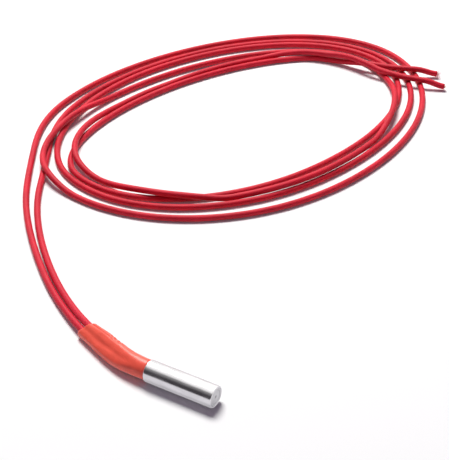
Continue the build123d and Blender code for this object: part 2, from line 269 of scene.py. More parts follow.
class HeaterLeadSizes(bpy.types.PropertyGroup):
    """Sizes and colours of the two leads"""

    diameter: bpy.props.FloatProperty(
        name="Diameter", description="Outside diameter of a lead",
        default=0.002, unit="LENGTH", precision=5,
    )
    length: bpy.props.FloatProperty(
        name="Length", description="Length of each lead", default=1.0, unit="LENGTH",
    )
    gap: bpy.props.FloatProperty(
        name="Gap", description="Air left between two turns that cross",
        default=0.00007, unit="LENGTH", precision=6,
    )
    strand_diameter: bpy.props.FloatProperty(
        name="Strand", description="Diameter of one copper strand",
        default=0.00027, unit="LENGTH", precision=5,
    )
    colour: bpy.props.FloatVectorProperty(
        name="Lead", description="Colour of the lead's cover",
        default=(0.70, 0.008, 0.032), subtype="COLOR",
    )


class HeaterStageSettings(bpy.types.PropertyGroup):
    """Camera, floor and light"""

    elevation: bpy.props.FloatProperty(
        name="Elevation", description="Camera's height as an angle",
        default=radians(35), subtype="ANGLE",
    )
    azimuth: bpy.props.FloatProperty(
        name="Azimuth", description="Camera's heading from +Y towards -X",
        default=radians(30.5), subtype="ANGLE",
    )
    key_power: bpy.props.FloatProperty(
        name="Key lamp", description="Power of the large soft lamp", default=15.3, unit="POWER",
    )
    sky_level: bpy.props.FloatProperty(
        name="Sky", description="Strength of the even light from all round", default=0.13,
    )
    floor_colour: bpy.props.FloatVectorProperty(
        name="Floor", description="Colour of the plain floor",
        default=(0.92, 0.92, 0.92), subtype="COLOR",
    )


class Signal:
    """A shader value that Python expressions work on: each operator adds its Math node."""

    def __init__(self, finish, socket):
        self.finish = finish
        self.socket = socket

    def maths(self, operation, *terms):
        """A Math node of this kind on these terms."""
        sockets = dict(enumerate(terms))
        return self.finish.node("ShaderNodeMath", {"operation": operation}, sockets)

    def __add__(self, other):
        return self.maths("ADD", self, other)

    def __radd__(self, other):
        return self.maths("ADD", other, self)

    def __sub__(self, other):
        return self.maths("SUBTRACT", self, other)

    def __rsub__(self, other):
        return self.maths("SUBTRACT", other, self)

    def __mul__(self, other):
        return self.maths("MULTIPLY", self, other)

    def __rmul__(self, other):
        return self.maths("MULTIPLY", other, self)

    def __truediv__(self, other):
        return self.maths("DIVIDE", self, other)

    def __pow__(self, other):
        return self.maths("POWER", self, other)

    def sine(self):
        """The sine of this value, in radians."""
        return self.maths("SINE", self)

    def higher_of(self, other):
        """The greater of this value and another."""
        return self.maths("MAXIMUM", self, other)

    def ramp(self, low, high, low_out=0.0, high_out=1.0):
        """This value moved from one range to another, smoothly and held at both ends."""
        return self.finish.node("ShaderNodeMapRange", {"interpolation_type": "SMOOTHSTEP"}, {
            "Value": self, "From Min": low, "From Max": high, "To Min": low_out, "To Max": high_out,
        })


class Finish:
    """A node tree that is built up one node at a time."""

    def __init__(self, tree):
        self.tree = tree
        self.tree.nodes.clear()

    def feed(self, socket, value):
        """Sets a socket, or links it where the value comes from another node."""
        if isinstance(value, Signal):
            self.tree.links.new(value.socket, socket)
        else:
            socket.default_value = value

    def node(self, kind, settings=None, sockets=None, output=0):
        """A new node, its settings made first and its sockets next. Gives one of its outputs."""
        made = self.tree.nodes.new(kind)
        for name, value in (settings or {}).items():
            setattr(made, name, value)
        for name, value in (sockets or {}).items():
            self.feed(made.inputs[name], value)
        return Signal(self, made.outputs[output]) if len(made.outputs) else None

    def mix(self, factor, first, second):
        """A colour between two colours."""
        settings = {"data_type": "RGBA"}
        sockets = {0: factor, 6: first, 7: second}
        return self.node("ShaderNodeMix", settings, sockets, output=2)

    def where(self, kind="Object"):
        """The place on the piece in its own coordinates, or another output of that node."""
        return self.node("ShaderNodeTexCoord", output=kind)

    def part(self, place, axis):
        """One coordinate of a place."""
        return self.node("ShaderNodeSeparateXYZ", {}, {"Vector": place}, output=axis)

    def ray(self, kind):
        """What kind of ray of light this is."""
        return self.node("ShaderNodeLightPath", output=kind)

    def vector(self, **parts):
        """A vector from its X, Y and Z."""
        return self.node("ShaderNodeCombineXYZ", {}, parts)

    def random(self, low, high, seed):
        """A random number for each point, in Geometry Nodes."""
        return self.node("FunctionNodeRandomValue", {"data_type": "FLOAT"}, {
            2: low, 3: high, "Seed": seed,
        }, output=1)

    def noise(self, place, scale, detail=2.0, roughness=0.5):
        """Smooth noise from 0 to 1 at a place, with this many waves a metre."""
        sockets = {"Vector": place, "Scale": scale, "Detail": detail, "Roughness": roughness}
        return self.node("ShaderNodeTexNoise", {}, sockets)

    def stretched(self, place, scales):
        """A place with each of its directions scaled."""
        return self.node("ShaderNodeMapping", {}, {"Vector": place, "Scale": scales})

    def bump(self, height, distance, strength=1.0):
        """A normal that shows this height, for a Normal socket."""
        sockets = {"Height": height, "Distance": distance, "Strength": strength}
        return self.node("ShaderNodeBump", {}, sockets)

    def surface(self, sockets):
        """A Principled surface with these sockets, joined to the output."""
        shader = self.node("ShaderNodeBsdfPrincipled", {}, sockets)
        self.node("ShaderNodeOutputMaterial", {}, {"Surface": shader})


def new_finish(name):
    """A new material and the Finish that fills its tree."""
    material = bpy.data.materials.new(name)
    material.use_nodes = True
    return material, Finish(material.node_tree)


def colour(values):
    """A colour property as the four values that a colour socket takes."""
    return (*values, 1.0)


def shade(values, factor):
    """A colour made lighter or darker."""
    return (*[min(value * factor, 1.0) for value in values], 1.0)


def drawn_steel(base):
    """Drawn stainless tube: bright, with fine lines along it and faint smears."""
    material, finish = new_finish("drawn_steel")
    place = finish.where()
    lines = finish.noise(finish.stretched(place, (60, 5200, 5200)), 1.0, 3.0, 0.6)
    smears = finish.noise(finish.stretched(place, (160, 420, 420)), 1.0, 4.0)
    specks = finish.noise(place, 2600, 2.0).ramp(0.64, 0.74)
    tint = finish.mix(smears.ramp(0.3, 0.7), shade(base, 0.9), shade(base, 1.06))
    worn = finish.mix(specks * 0.25, tint, shade(base, 0.6))
    finish.surface({
        "Base Color": worn,
        "Metallic": 1.0,
        "Roughness": 0.15 + 0.07 * smears.ramp(0.35, 0.75) + 0.05 * lines,
        "Normal": finish.bump(lines + 0.3 * specks, 0.000002, 0.3),
    })
    return material


def turned_steel(base):
    """End disc: duller steel, with rings round the axis, and painted shade in its punch mark and along
    the edge of its recess.
    """
    material, finish = new_finish("turned_steel")
    place = finish.where()
    apart = finish.part(place, "Y")
    height = finish.part(place, "Z") - AXIS_HEIGHT
    radius = (apart * apart + height * height) ** 0.5
    rings = (radius * (2 * pi / TURNING_PITCH)).sine()
    grain = finish.noise(place, 5200, 3.0)
    # Painted shade: the punch mark and a thin line at the recess's edge are painted darker
    mark = radius.ramp(0.0002, 0.00062, 1.0, 0.0)
    past = radius - RECESS_RADIUS
    groove_shade = past.ramp(-GROOVE_SHADE_WIDTH, 0.0) * past.ramp(0.0, GROOVE_SHADE_WIDTH, 1.0, 0.0)
    haze = finish.noise(place, 700, 3.0).ramp(0.4, 0.75)
    face = finish.mix(mark * 0.65 + groove_shade * 0.5, shade(base, 0.84), shade(base, 0.22))
    finish.surface({
        "Base Color": finish.mix(haze * 0.12, face, shade(base, 0.6)),
        "Metallic": 1.0,
        "Roughness": 0.32 + 0.08 * grain,
        "Normal": finish.bump(0.5 * rings + 0.4 * grain, 0.000004, 0.5),
    })
    return material


def soft_sleeve(base):
    """Silicone sleeve: satin, with painted shade in its creases, and faint lines along it."""
    material, finish = new_finish("soft_sleeve")
    place = finish.where()
    along = finish.where("UV")
    crease_shade = finish.node("ShaderNodeAttribute", {"attribute_name": "crease_shade"}, output="Fac")
    lines = finish.noise(finish.stretched(along, (0.5, 26, 1)), 1.0, 3.0, 0.6)
    patches = finish.noise(place, 420, 3.0)
    skin = finish.noise(place, 4200, 3.0)
    tint = finish.mix(patches.ramp(0.3, 0.7), shade(base, 0.94), shade(base, 1.06))
    # Painted shade: the sleeve is painted darker where its creases are deep
    deep = (base[0] * 0.62, base[1] * 0.34, base[2] * 0.4, 1.0)
    crease_shaded = finish.mix(crease_shade.ramp(0.15, 1.0) * 0.8, tint, deep)
    finish.surface({
        "Base Color": crease_shaded,
        "Roughness": 0.34 + 0.1 * skin,
        "Specular IOR Level": 0.42,
        "Normal": finish.bump(lines + 0.4 * skin, 0.000012, 0.5),
    })
    return material


def braided_cover(base):
    """Lead cover: a fine braid under a skin of silicone, that follows the lead's own UV map."""
    material, finish = new_finish("braided_cover")
    along = finish.where("UV")
    place = finish.where()
    run = finish.part(along, "X")
    turn = finish.part(along, "Y")
    ahead = run * (2 * pi * YARNS_A_PITCH / BRAID_PITCH)
    round_it = turn * (2 * pi * YARNS_ROUND)
    right = (ahead + round_it).sine()
    left = (ahead - round_it).sine()
    weave = right.higher_of(left).ramp(-0.4, 1.0)
    fibre = finish.noise(finish.stretched(along, (9, 34, 1)), 1.0, 2.0)
    patches = finish.noise(place, 130, 3.0)
    worn = finish.noise(place, 700, 3.0).ramp(0.5, 0.72)
    thread = finish.mix(patches.ramp(0.3, 0.7), shade(base, 0.86), shade(base, 1.12))
    pale = (min(base[0] * 1.3, 1.0), base[1] * 5.0, base[2] * 2.5, 1.0)
    # Painted light: the stretch of each lead near the sleeve is painted paler; the noise above adds
    # real wear
    painted_light_near_sleeve = run.ramp(10.0, 90.0, 0.4, 0.0)
    wear_and_painted_light = finish.mix((worn * 0.28).higher_of(painted_light_near_sleeve), thread, pale)
    # Painted shade: the cover is painted darker where the braid lies low, between its yarns
    finish.surface({
        "Base Color": finish.mix(weave, shade(base, 0.68), wear_and_painted_light),
        "Roughness": 0.46 + 0.16 * fibre,
        "Specular IOR Level": 0.24,
        "Normal": finish.bump(weave + 0.35 * fibre, 0.00003, 0.55),
    })
    return material


def bare_copper():
    """Bright copper strands, a little dulled."""
    material, finish = new_finish("bare_copper")
    place = finish.where()
    dull = finish.noise(place, 1800, 3.0)
    finish.surface({
        "Base Color": finish.mix(dull.ramp(0.3, 0.7), (0.86, 0.5, 0.33, 1.0), (0.58, 0.3, 0.2, 1.0)),
        "Metallic": 1.0,
        "Roughness": 0.26 + 0.2 * dull,
        "Normal": finish.bump(dull, 0.00001, 0.4),
    })
    return material


def glass_fibre(name, pale, dark):
    """Glass yarn: pale, matt and streaky."""
    material, finish = new_finish(name)
    place = finish.where()
    streak = finish.noise(finish.stretched(place, (900, 5200, 5200)), 1.0, 3.0)
    finish.surface({
        "Base Color": finish.mix(streak.ramp(0.3, 0.7), pale, dark),
        "Roughness": 0.6 + 0.2 * streak,
        "Normal": finish.bump(streak, 0.00002, 0.5),
    })
    return material


def fired_ceramic(name, base, grain_size, depth):
    """Ceramic or packed powder: matt, with grains and pores."""
    material, finish = new_finish(name)
    place = finish.where()
    grain = finish.noise(place, 1.0 / grain_size, 4.0, 0.65)
    pores = finish.noise(place, 0.4 / grain_size, 2.0).ramp(0.62, 0.72)
    body = finish.mix(grain, shade(base, 0.88), shade(base, 1.04))
    # Painted shade: the pores are painted darker
    finish.surface({
        "Base Color": finish.mix(pores * 0.5, body, shade(base, 0.6)),
        "Roughness": 0.68 + 0.2 * grain,
        "Normal": finish.bump(grain - pores, depth, 0.6),
    })
    return material


def drawn_wire(name, base, roughness):
    """Drawn or plated metal with fine lines and a dull bloom."""
    material, finish = new_finish(name)
    place = finish.where()
    lines = finish.noise(finish.stretched(place, (900, 9000, 9000)), 1.0, 3.0)
    bloom = finish.noise(place, 1500, 3.0)
    finish.surface({
        "Base Color": finish.mix(bloom.ramp(0.35, 0.7), shade(base, 1.05), shade(base, 0.78)),
        "Metallic": 1.0,
        "Roughness": roughness + 0.14 * bloom,
        "Normal": finish.bump(lines, 0.000006, 0.4),
    })
    return material


def mesh_piece(name, points, faces, material, smooth=True):
    """A new object with this mesh and finish, at the origin."""
    mesh = bpy.data.meshes.new(name)
    mesh.from_pydata([tuple(point) for point in points], [], faces)
    mesh.update()
    mesh.materials.append(material)
    mesh.polygons.foreach_set("use_smooth", [smooth] * len(mesh.polygons))
    piece = bpy.data.objects.new(name, mesh)
    bpy.context.scene.collection.objects.link(piece)
    return piece


def nurbs_line(points, steps=12):
    """Points read from the smooth NURBS spline that has these points as its control points."""
    curve = bpy.data.curves.new("route", "CURVE")
    curve.dimensions = "3D"
    curve.resolution_u = steps
    spline = curve.splines.new("NURBS")
    spline.points.add(len(points) - 1)
    for control, point in zip(spline.points, points):
        control.co = (*point, 1.0)
    spline.order_u = 3
    spline.use_endpoint_u = True
    holder = bpy.data.objects.new("route", curve)
    mesh = bpy.data.meshes.new_from_object(holder)
    line = np.array([tuple(vertex.co) for vertex in mesh.vertices])
    bpy.data.objects.remove(holder)
    bpy.data.meshes.remove(mesh)
    bpy.data.curves.remove(curve)
    return line


def eased(share):
    """A share from 0 to 1, with a smooth start and end."""
    return share * share * (3 - 2 * share)


def distances(line):
    """How far along a line each of its points is."""
    steps = np.linalg.norm(np.diff(line, axis=0), axis=1)
    return np.concatenate([[0.0], np.cumsum(steps)])


def evenly(line, step):
    """The same line with its points a fixed step apart."""
    along = distances(line)
    count = int(round(along[-1] / step))
    places = np.linspace(0.0, along[-1], count + 1)
    return np.stack([np.interp(places, along, line[:, axis]) for axis in range(3)], axis=1)


def in_hank(along, across):
    """A point on the floor, from its place along the hank and across it."""
    out = Vector((cos(HANK_HEADING), sin(HANK_HEADING)))
    left = Vector((-out.y, out.x))
    place = HANK_MIDDLE + out * along + left * across
    return (place.x, place.y, LYING)


def turns(reach, phase):
    """Points round the hank, a quarter turn from each reach to the next, a little uneven."""
    points = []
    for quarter in range(len(reach) - 1):
        for step in range(POINTS_A_QUARTER):
            place = quarter + step / POINTS_A_QUARTER
            if not FIRST_QUARTER <= place <= LAST_QUARTER:
                continue
            angle = pi / 2 * step / POINTS_A_QUARTER
            start = reach[quarter] * cos(angle)
            end = reach[quarter + 1] * sin(angle)
            along, across = [(-start, end), (end, start), (start, -end), (-end, -start)][quarter % 4]
            uneven = 1 + WANDER * (sin(2.9 * place + phase) + sin(4.7 * place + 2 * phase))
            points.append(in_hank(along * uneven, across * uneven))
    return points


def spread_lifts(lifts):
    """Turns the lifts at a line's points into long low humps."""
    half = int(round(HUMP_REACH / LEAD_STEP))
    flat = half / 8
    spread = lifts.copy()
    for offset in range(-half, half + 1):
        share = max(abs(offset) - flat, 0.0) / (half - flat)
        weight = (1 + cos(pi * share)) / 2
        shifted = np.zeros_like(lifts)
        if offset >= 0:
            shifted[offset:] = lifts[:len(lifts) - offset]
        else:
            shifted[:offset] = lifts[-offset:]
        spread = np.maximum(spread, shifted * weight)
    return spread


def smoothed(values, width):
    """Values averaged over their neighbours, with the ends held."""
    offsets = np.arange(-3 * width, 3 * width + 1)
    weights = np.exp(-0.5 * (offsets / width) ** 2)
    padded = np.pad(values, 3 * width, mode="edge")
    return np.convolve(padded, weights / weights.sum(), mode="valid")


def crossings(lines, clear):
    """Pairs of points where one turn lies over another: upper, lower and the height between."""
    flat = np.concatenate([line[:, :2] for line in lines])
    owner = np.concatenate([np.full(len(line), index) for index, line in enumerate(lines)])
    laid = np.concatenate([distances(line) + index * LAID_LATER for index, line in enumerate(lines)])
    uppers, lowers, heights = [], [], []
    for index in range(len(flat)):
        gap = np.linalg.norm(flat - flat[index], axis=1)
        own_length = (owner == owner[index]) & (np.abs(laid - laid[index]) < OWN_STRETCH)
        near = np.nonzero((gap < clear) & (laid < laid[index]) & ~own_length)[0]
        uppers.extend([index] * len(near))
        lowers.extend(near)
        heights.extend(np.sqrt(clear ** 2 - gap[near] ** 2))
    return np.array(uppers), np.array(lowers), np.array(heights)


def settle(lines, clear):
    """Raises each turn where it lies over one that was laid before it."""
    uppers, lowers, heights = crossings(lines, clear)
    base = np.concatenate([line[:, 2] for line in lines])
    ends = np.cumsum([len(line) for line in lines])[:-1]
    level = base.copy()
    for _ in range(SETTLE_ROUNDS):
        need = base.copy()
        np.maximum.at(need, uppers, level[lowers] + heights)
        lifts = []
        for lift in np.split(need - base, ends):
            held = np.nonzero(lift > 0.0)[0]
            free = max(len(lift) - 1 - held[-1], 1) if len(held) else 1
            share = np.clip(np.arange(len(lift))[::-1] / free, 0.0, 1.0)
            droop = END_DROOP + (1 - END_DROOP) * eased(share)
            humps = smoothed(spread_lifts(lift) * droop, 2)
            lifts.append(np.maximum(humps, lift))
        level = base + np.concatenate(lifts)
    settled = []
    for line, heights_now in zip(lines, np.split(level, ends)):
        settled.append(np.column_stack([line[:, :2], smoothed(heights_now, 1)]))
    return settled


def frames_along(line, first_side):
    """For each point of a line, its direction and two directions square to it, without twist."""
    ahead = np.gradient(line, axis=0)
    ahead /= np.linalg.norm(ahead, axis=1)[:, None]
    side = np.array(first_side, float)
    sides = []
    for direction in ahead:
        side = side - direction * side.dot(direction)
        side /= np.linalg.norm(side)
        sides.append(side.copy())
    sides = np.array(sides)
    return ahead, sides, np.cross(ahead, sides)


def ring_faces(rings, sides):
    """Quads between rings of points that follow each other, with faces outwards."""
    faces = []
    for ring in range(rings - 1):
        for side in range(sides):
            here = ring * sides + side
            beside = ring * sides + (side + 1) % sides
            faces.append((here, beside, beside + sides, here + sides))
    return faces


def map_tube(mesh, rings, sides, along):
    """A UV map with the distance along in millimetres as U and the share of a turn as V."""
    layer = mesh.uv_layers.new(name="along")
    for polygon in mesh.polygons:
        places = [(index // sides, index % sides) for index in polygon.vertices]
        wraps = len(places) == 4 and {0, sides - 1} <= {side for _, side in places}
        for loop, (ring, side) in zip(polygon.loop_indices, places):
            around = side / sides
            if wraps and side == 0:
                around = 1.0
            layer.data[loop].uv = (along[min(ring, rings - 1)] / MM, around)


def lead_tube(name, line, radius, material, sides=18):
    """A round tube along a line, cut square, with a bore at its far end for the bare strands."""
    ahead, side, up = frames_along(line, (0, 0, 1))
    angles = np.arange(sides) * 2 * pi / sides
    along = distances(line)
    last = len(line) - 1
    edge = 0.06 * radius
    bore = 0.45 * radius
    stations = [(0, bore, 0.0), (0, radius - edge, 0.0), (0, radius, edge)]
    stations += [(index, radius, 0.0) for index in range(1, last)]
    stations += [
        (last, radius, -edge), (last, radius - edge, 0.0), (last, bore, 0.0), (last, bore, -radius),
    ]
    points, where = [], []
    for index, reach, shift in stations:
        centre = line[index] + ahead[index] * shift
        for angle in angles:
            points.append(centre + reach * (cos(angle) * side[index] + sin(angle) * up[index]))
        where.append(along[index] + shift)
    faces = ring_faces(len(stations), sides)
    faces.append(tuple(reversed(range(sides))))
    first_of_last = (len(stations) - 1) * sides
    faces.append(tuple(range(first_of_last, first_of_last + sides)))
    piece = mesh_piece(name, points, faces, material)
    map_tube(piece.data, len(stations), sides, where)
    return piece


def geometry_tree(name, inputs):
    """A new Geometry Nodes tree with these named inputs, and the inputs as values to work on."""
    tree = bpy.data.node_groups.new(name, "GeometryNodeTree")
    face = tree.interface
    face.new_socket("Geometry", in_out="INPUT", socket_type="NodeSocketGeometry")
    for label, (kind, default) in inputs.items():
        face.new_socket(label, in_out="INPUT", socket_type=kind).default_value = default
    face.new_socket("Finish", in_out="INPUT", socket_type="NodeSocketMaterial")
    face.new_socket("Geometry", in_out="OUTPUT", socket_type="NodeSocketGeometry")
    build = Finish(tree)
    given = tree.nodes.new("NodeGroupInput")
    return build, {socket.name: Signal(build, socket) for socket in given.outputs if socket.name}


def close_tree(build, wanted, curves, sides, radius):
    """Ends a tree: round tubes on its curves, as plain mesh with its finish."""
    section = build.node("GeometryNodeCurvePrimitiveCircle", {}, {
        "Resolution": sides, "Radius": radius,
    })
    solid = build.node("GeometryNodeCurveToMesh", {}, {
        "Curve": curves, "Profile Curve": section, "Fill Caps": True,
    })
    whole = build.node("GeometryNodeRealizeInstances", {}, {"Geometry": solid})
    build.node("NodeGroupOutput", {}, {
        0: build.node("GeometryNodeSetMaterial", {}, {"Geometry": whole, "Material": wanted["Finish"]}),
    })
    return build.tree


def strands_tree():
    """Bare strands: six laid round one with a slow twist, each cut at its own length."""
    build, wanted = geometry_tree("bare strands", {
        "Strand diameter": ("NodeSocketFloat", 0.00027),
        "Length": ("NodeSocketFloat", STRANDS_LENGTH),
        "Twist": ("NodeSocketFloat", STRANDS_TWIST),
        "Seed": ("NodeSocketInt", 3),
    })
    diameter = wanted["Strand diameter"]
    length = wanted["Length"]
    ring = build.node("GeometryNodeMeshCircle", {}, {"Vertices": 6, "Radius": diameter})
    middle = build.node("GeometryNodeMeshLine", {}, {"Count": 1})
    places = build.tree.nodes.new("GeometryNodeJoinGeometry")
    build.tree.links.new(ring.socket, places.inputs[0])
    build.tree.links.new(middle.socket, places.inputs[0])
    strand = build.node("GeometryNodeCurvePrimitiveLine", {}, {
        "Start": (0, 0, 0), "End": build.vector(Z=length),
    })
    fine = build.node("GeometryNodeResampleCurve", {}, {"Curve": strand, "Count": 9})
    laid = build.node("GeometryNodeInstanceOnPoints", {}, {
        "Points": Signal(build, places.outputs[0]), "Instance": fine,
    })
    cut_at = build.random(0.78, 1.0, wanted["Seed"])
    cut = build.node("GeometryNodeScaleInstances", {}, {
        "Instances": laid, "Scale": build.vector(X=1.0, Y=1.0, Z=cut_at),
    })
    loose = build.node("GeometryNodeRealizeInstances", {}, {"Geometry": cut})
    position = build.node("GeometryNodeInputPosition")
    turned = build.node("ShaderNodeVectorRotate", {"rotation_type": "Z_AXIS"}, {
        "Vector": position, "Angle": build.part(position, "Z") / length * wanted["Twist"],
    })
    twisted = build.node("GeometryNodeSetPosition", {}, {"Geometry": loose, "Position": turned})
    return close_tree(build, wanted, twisted, 10, diameter / 2)


def fibres_tree():
    """Frayed yarn: thin bent fibres that stand round a cut end and lean out at random."""
    build, wanted = geometry_tree("frayed yarn", {
        "Count": ("NodeSocketInt", 40),
        "Ring radius": ("NodeSocketFloat", FRAY_RADIUS),
        "Fibre diameter": ("NodeSocketFloat", FIBRE_DIAMETER),
        "Length": ("NodeSocketFloat", 0.0022),
        "Lean": ("NodeSocketFloat", FIBRE_LEAN),
        "Seed": ("NodeSocketInt", 7),
    })
    length, lean, seed = wanted["Length"], wanted["Lean"], wanted["Seed"]
    ring = build.node("GeometryNodeMeshCircle", {}, {
        "Vertices": wanted["Count"], "Radius": wanted["Ring radius"],
    })
    fibre = build.node("GeometryNodeCurveQuadraticBezier", {}, {
        "Resolution": 6, "Start": (0, 0, 0), "Middle": build.vector(X=length * 0.35, Z=length * 0.55),
        "End": build.vector(Z=length),
    })
    angles = build.vector(
        X=build.random(lean * -1.0, lean, seed), Y=build.random(lean * -1.0, lean, seed + 11.0),
        Z=build.random(0.0, 2 * pi, seed + 23.0),
    )
    size = build.random(0.35, 1.0, seed + 31.0)
    laid = build.node("GeometryNodeInstanceOnPoints", {}, {
        "Points": ring, "Instance": fibre, "Rotation": angles,
        "Scale": build.vector(X=size, Y=size, Z=size),
    })
    loose = build.node("GeometryNodeRealizeInstances", {}, {"Geometry": laid})
    return close_tree(build, wanted, loose, 5, wanted["Fibre diameter"] / 2)


def grown(name, tree, values, place):
    """A piece made by a Geometry Nodes tree, turned into a plain mesh and put in its place."""
    seed_mesh = bpy.data.meshes.new(name)
    holder = bpy.data.objects.new(name + "_holder", seed_mesh)
    bpy.context.scene.collection.objects.link(holder)
    modifier = holder.modifiers.new("build", "NODES")
    modifier.node_group = tree
    for item in tree.interface.items_tree:
        if item.in_out == "INPUT" and item.name in values:
            modifier[item.identifier] = values[item.name]
    bpy.context.view_layer.update()
    ready = holder.evaluated_get(bpy.context.evaluated_depsgraph_get())
    mesh = bpy.data.meshes.new_from_object(ready)
    holder.modifiers.remove(modifier)
    bpy.data.objects.remove(holder)
    mesh.name = name
    mesh.transform(place)
    for vertex in mesh.vertices:
        vertex.co.z = max(vertex.co.z, LOWEST)
    mesh.polygons.foreach_set("use_smooth", [True] * len(mesh.polygons))
    piece = bpy.data.objects.new(name, mesh)
    bpy.context.scene.collection.objects.link(piece)
    return piece


def end_place(line, back):
    """The place of a lead's cut end, with Z out of it, moved back by this much."""
    ahead = Vector(line[-1]) - Vector(line[-3])
    ahead.normalize()
    turn = ahead.to_track_quat("Z", "Y").to_matrix().to_4x4()
    return Matrix.Translation(Vector(line[-1]) - ahead * back) @ turn


class HEATER_OT_stage(bpy.types.Operator):
    """Adds the camera, the floor and the light"""

    bl_idname = "heater.stage"
    bl_label = "Add the stage"

    def execute(self, context):
        settings = context.scene.heater_stage
        camera = bpy.data.cameras.new("camera")
        camera.lens = CAMERA_LENS
        camera.sensor_width = CAMERA_SENSOR
        camera.clip_start = 0.01
        camera.clip_end = 10.0
        viewer = bpy.data.objects.new("camera", camera)
        viewer.location = CAMERA_PLACE
        viewer.rotation_euler = Euler((pi / 2 - settings.elevation, 0, settings.azimuth))
        context.scene.collection.objects.link(viewer)
        context.scene.camera = viewer

        lamp = bpy.data.lights.new("key", "AREA")
        lamp.shape = "DISK"
        lamp.size = LAMP_SIZE
        lamp.energy = settings.key_power
        lamp.color = LAMP_COLOUR
        key = bpy.data.objects.new("key", lamp)
        key.location = LAMP_AIM + LAMP_AWAY
        key.rotation_euler = (LAMP_AIM - key.location).to_track_quat("-Z", "Y").to_euler()
        context.scene.collection.objects.link(key)

        self.light_world(context, settings)
        self.lay_floor(settings)
        context.scene.view_settings.view_transform = "Standard"
        return {"FINISHED"}

    def light_world(self, context, settings):
        """An even sky, which shines in metal as a bright room whose front side is dark."""
        world = bpy.data.worlds.new("room")
        world.use_nodes = True
        context.scene.world = world
        build = Finish(world.node_tree)
        towards = build.where("Generated")
        rise = build.part(towards, "Z")
        in_front = build.part(towards, "Y").ramp(-0.22, -0.02, 1.0, 0.0)
        band = 0.82 * rise.ramp(0.76, 0.9, 1.0, 0.0) + 0.18 * rise.ramp(0.45, 0.76, 1.0, 0.0)
        shine = build.mix(in_front * band, BRIGHT_SIDE, DARK_SIDE)
        level = settings.sky_level
        sky_colour = (*[level * part for part in SKY_TINT], 1.0)
        plain = build.mix(build.ray("Is Glossy Ray") * self.unscattered(build), sky_colour, shine)
        seen = build.mix(build.ray("Is Camera Ray"), plain, WHITE)
        sky = build.node("ShaderNodeBackground", {}, {"Color": seen, "Strength": 1.0})
        build.node("ShaderNodeOutputWorld", {}, {"Surface": sky})

    def unscattered(self, build):
        """One for a ray that no matt surface has scattered, so reflections don't fill the shadow."""
        return build.ray("Diffuse Depth").ramp(0.0, 1.0, 1.0, 0.0)

    def lay_floor(self, settings):
        """A large plain floor that keeps the shadow and is white far from the heater."""
        material, finish = new_finish("floor")
        matt = finish.node("ShaderNodeBsdfDiffuse", {}, {"Color": colour(settings.floor_colour)})
        seen_in_metal = finish.ray("Is Glossy Ray") * self.unscattered(finish)
        seen = finish.ray("Is Camera Ray") + seen_in_metal
        glow = finish.node("ShaderNodeEmission", {}, {"Color": FLOOR_GLOW, "Strength": seen})
        near = finish.node("ShaderNodeAddShader", {}, {0: matt, 1: glow})
        white = finish.node("ShaderNodeEmission", {}, {"Color": WHITE, "Strength": seen})
        away = finish.node("ShaderNodeVectorMath", {"operation": "DISTANCE"}, {
            0: finish.where(), 1: FLOOR_MIDDLE,
        }, output="Value")
        far = away.ramp(SHADOWS_TO, WHITE_FROM)
        whiter = far + (1 - far) * seen_in_metal * WHITER_IN_METAL
        both = finish.node("ShaderNodeMixShader", {}, {0: whiter, 1: near, 2: white})
        finish.node("ShaderNodeOutputMaterial", {}, {"Surface": both})
        corners = [
            (along * FLOOR_REACH, across * FLOOR_REACH, 0)
            for along, across in ((-1, -1), (1, -1), (1, 1), (-1, 1))
        ]
        mesh_piece("floor", corners, [(0, 1, 2, 3)], material, smooth=False)


class HEATER_OT_leads(bpy.types.Operator):
    """Lays both leads in their loose hank and adds their cut ends"""

    bl_idname = "heater.leads"
    bl_label = "Lay the leads"

    def execute(self, context):
        sizes = context.scene.heater_leads
        routes = {
            "a": ROUTE_A + turns(REACH_A, PHASE_A) + [in_hank(*place) for place in END_A],
            "b": ROUTE_B + turns(REACH_B, PHASE_B) + [in_hank(*place) for place in END_B],
        }
        lines = [evenly(nurbs_line(route), LEAD_STEP) for route in routes.values()]
        lines = settle(lines, sizes.diameter + sizes.gap)
        cover = braided_cover(sizes.colour)
        copper = bare_copper()
        yarn = glass_fibre("frayed_yarn", (0.93, 0.66, 0.68, 1.0), (0.8, 0.25, 0.3, 1.0))
        strands, fibres = strands_tree(), fibres_tree()
        for seed, (letter, line) in enumerate(zip(routes, lines), start=3):
            tube = lead_tube("lead_" + letter, line, sizes.diameter / 2, cover)
            stands_for = [f"lead_{letter}_run", f"lead_{letter}_tail"]
            if letter == "a":
                stands_for.append("hank")
            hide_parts(*stands_for)
            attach(tube, BODY)
            values = {
                "Strand diameter": sizes.strand_diameter, "Length": STRANDS_LENGTH,
                "Twist": STRANDS_TWIST, "Seed": seed, "Finish": copper,
            }
            bare = grown(f"cut_strands_{letter}", strands, values, end_place(line, STRANDS_BACK))
            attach(bare, BODY)
            count, length = FRAYS[letter]
            values = {
                "Count": count, "Ring radius": FRAY_RADIUS, "Fibre diameter": FIBRE_DIAMETER,
                "Length": length, "Lean": FIBRE_LEAN, "Seed": seed, "Finish": yarn,
            }
            tuft = grown(f"frayed_end_{letter}", fibres, values, end_place(line, FRAY_BACK))
            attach(tuft, BODY)
            context.scene[f"heater_line_{letter}"] = [float(value) for value in line.flatten()]
        return {"FINISHED"}


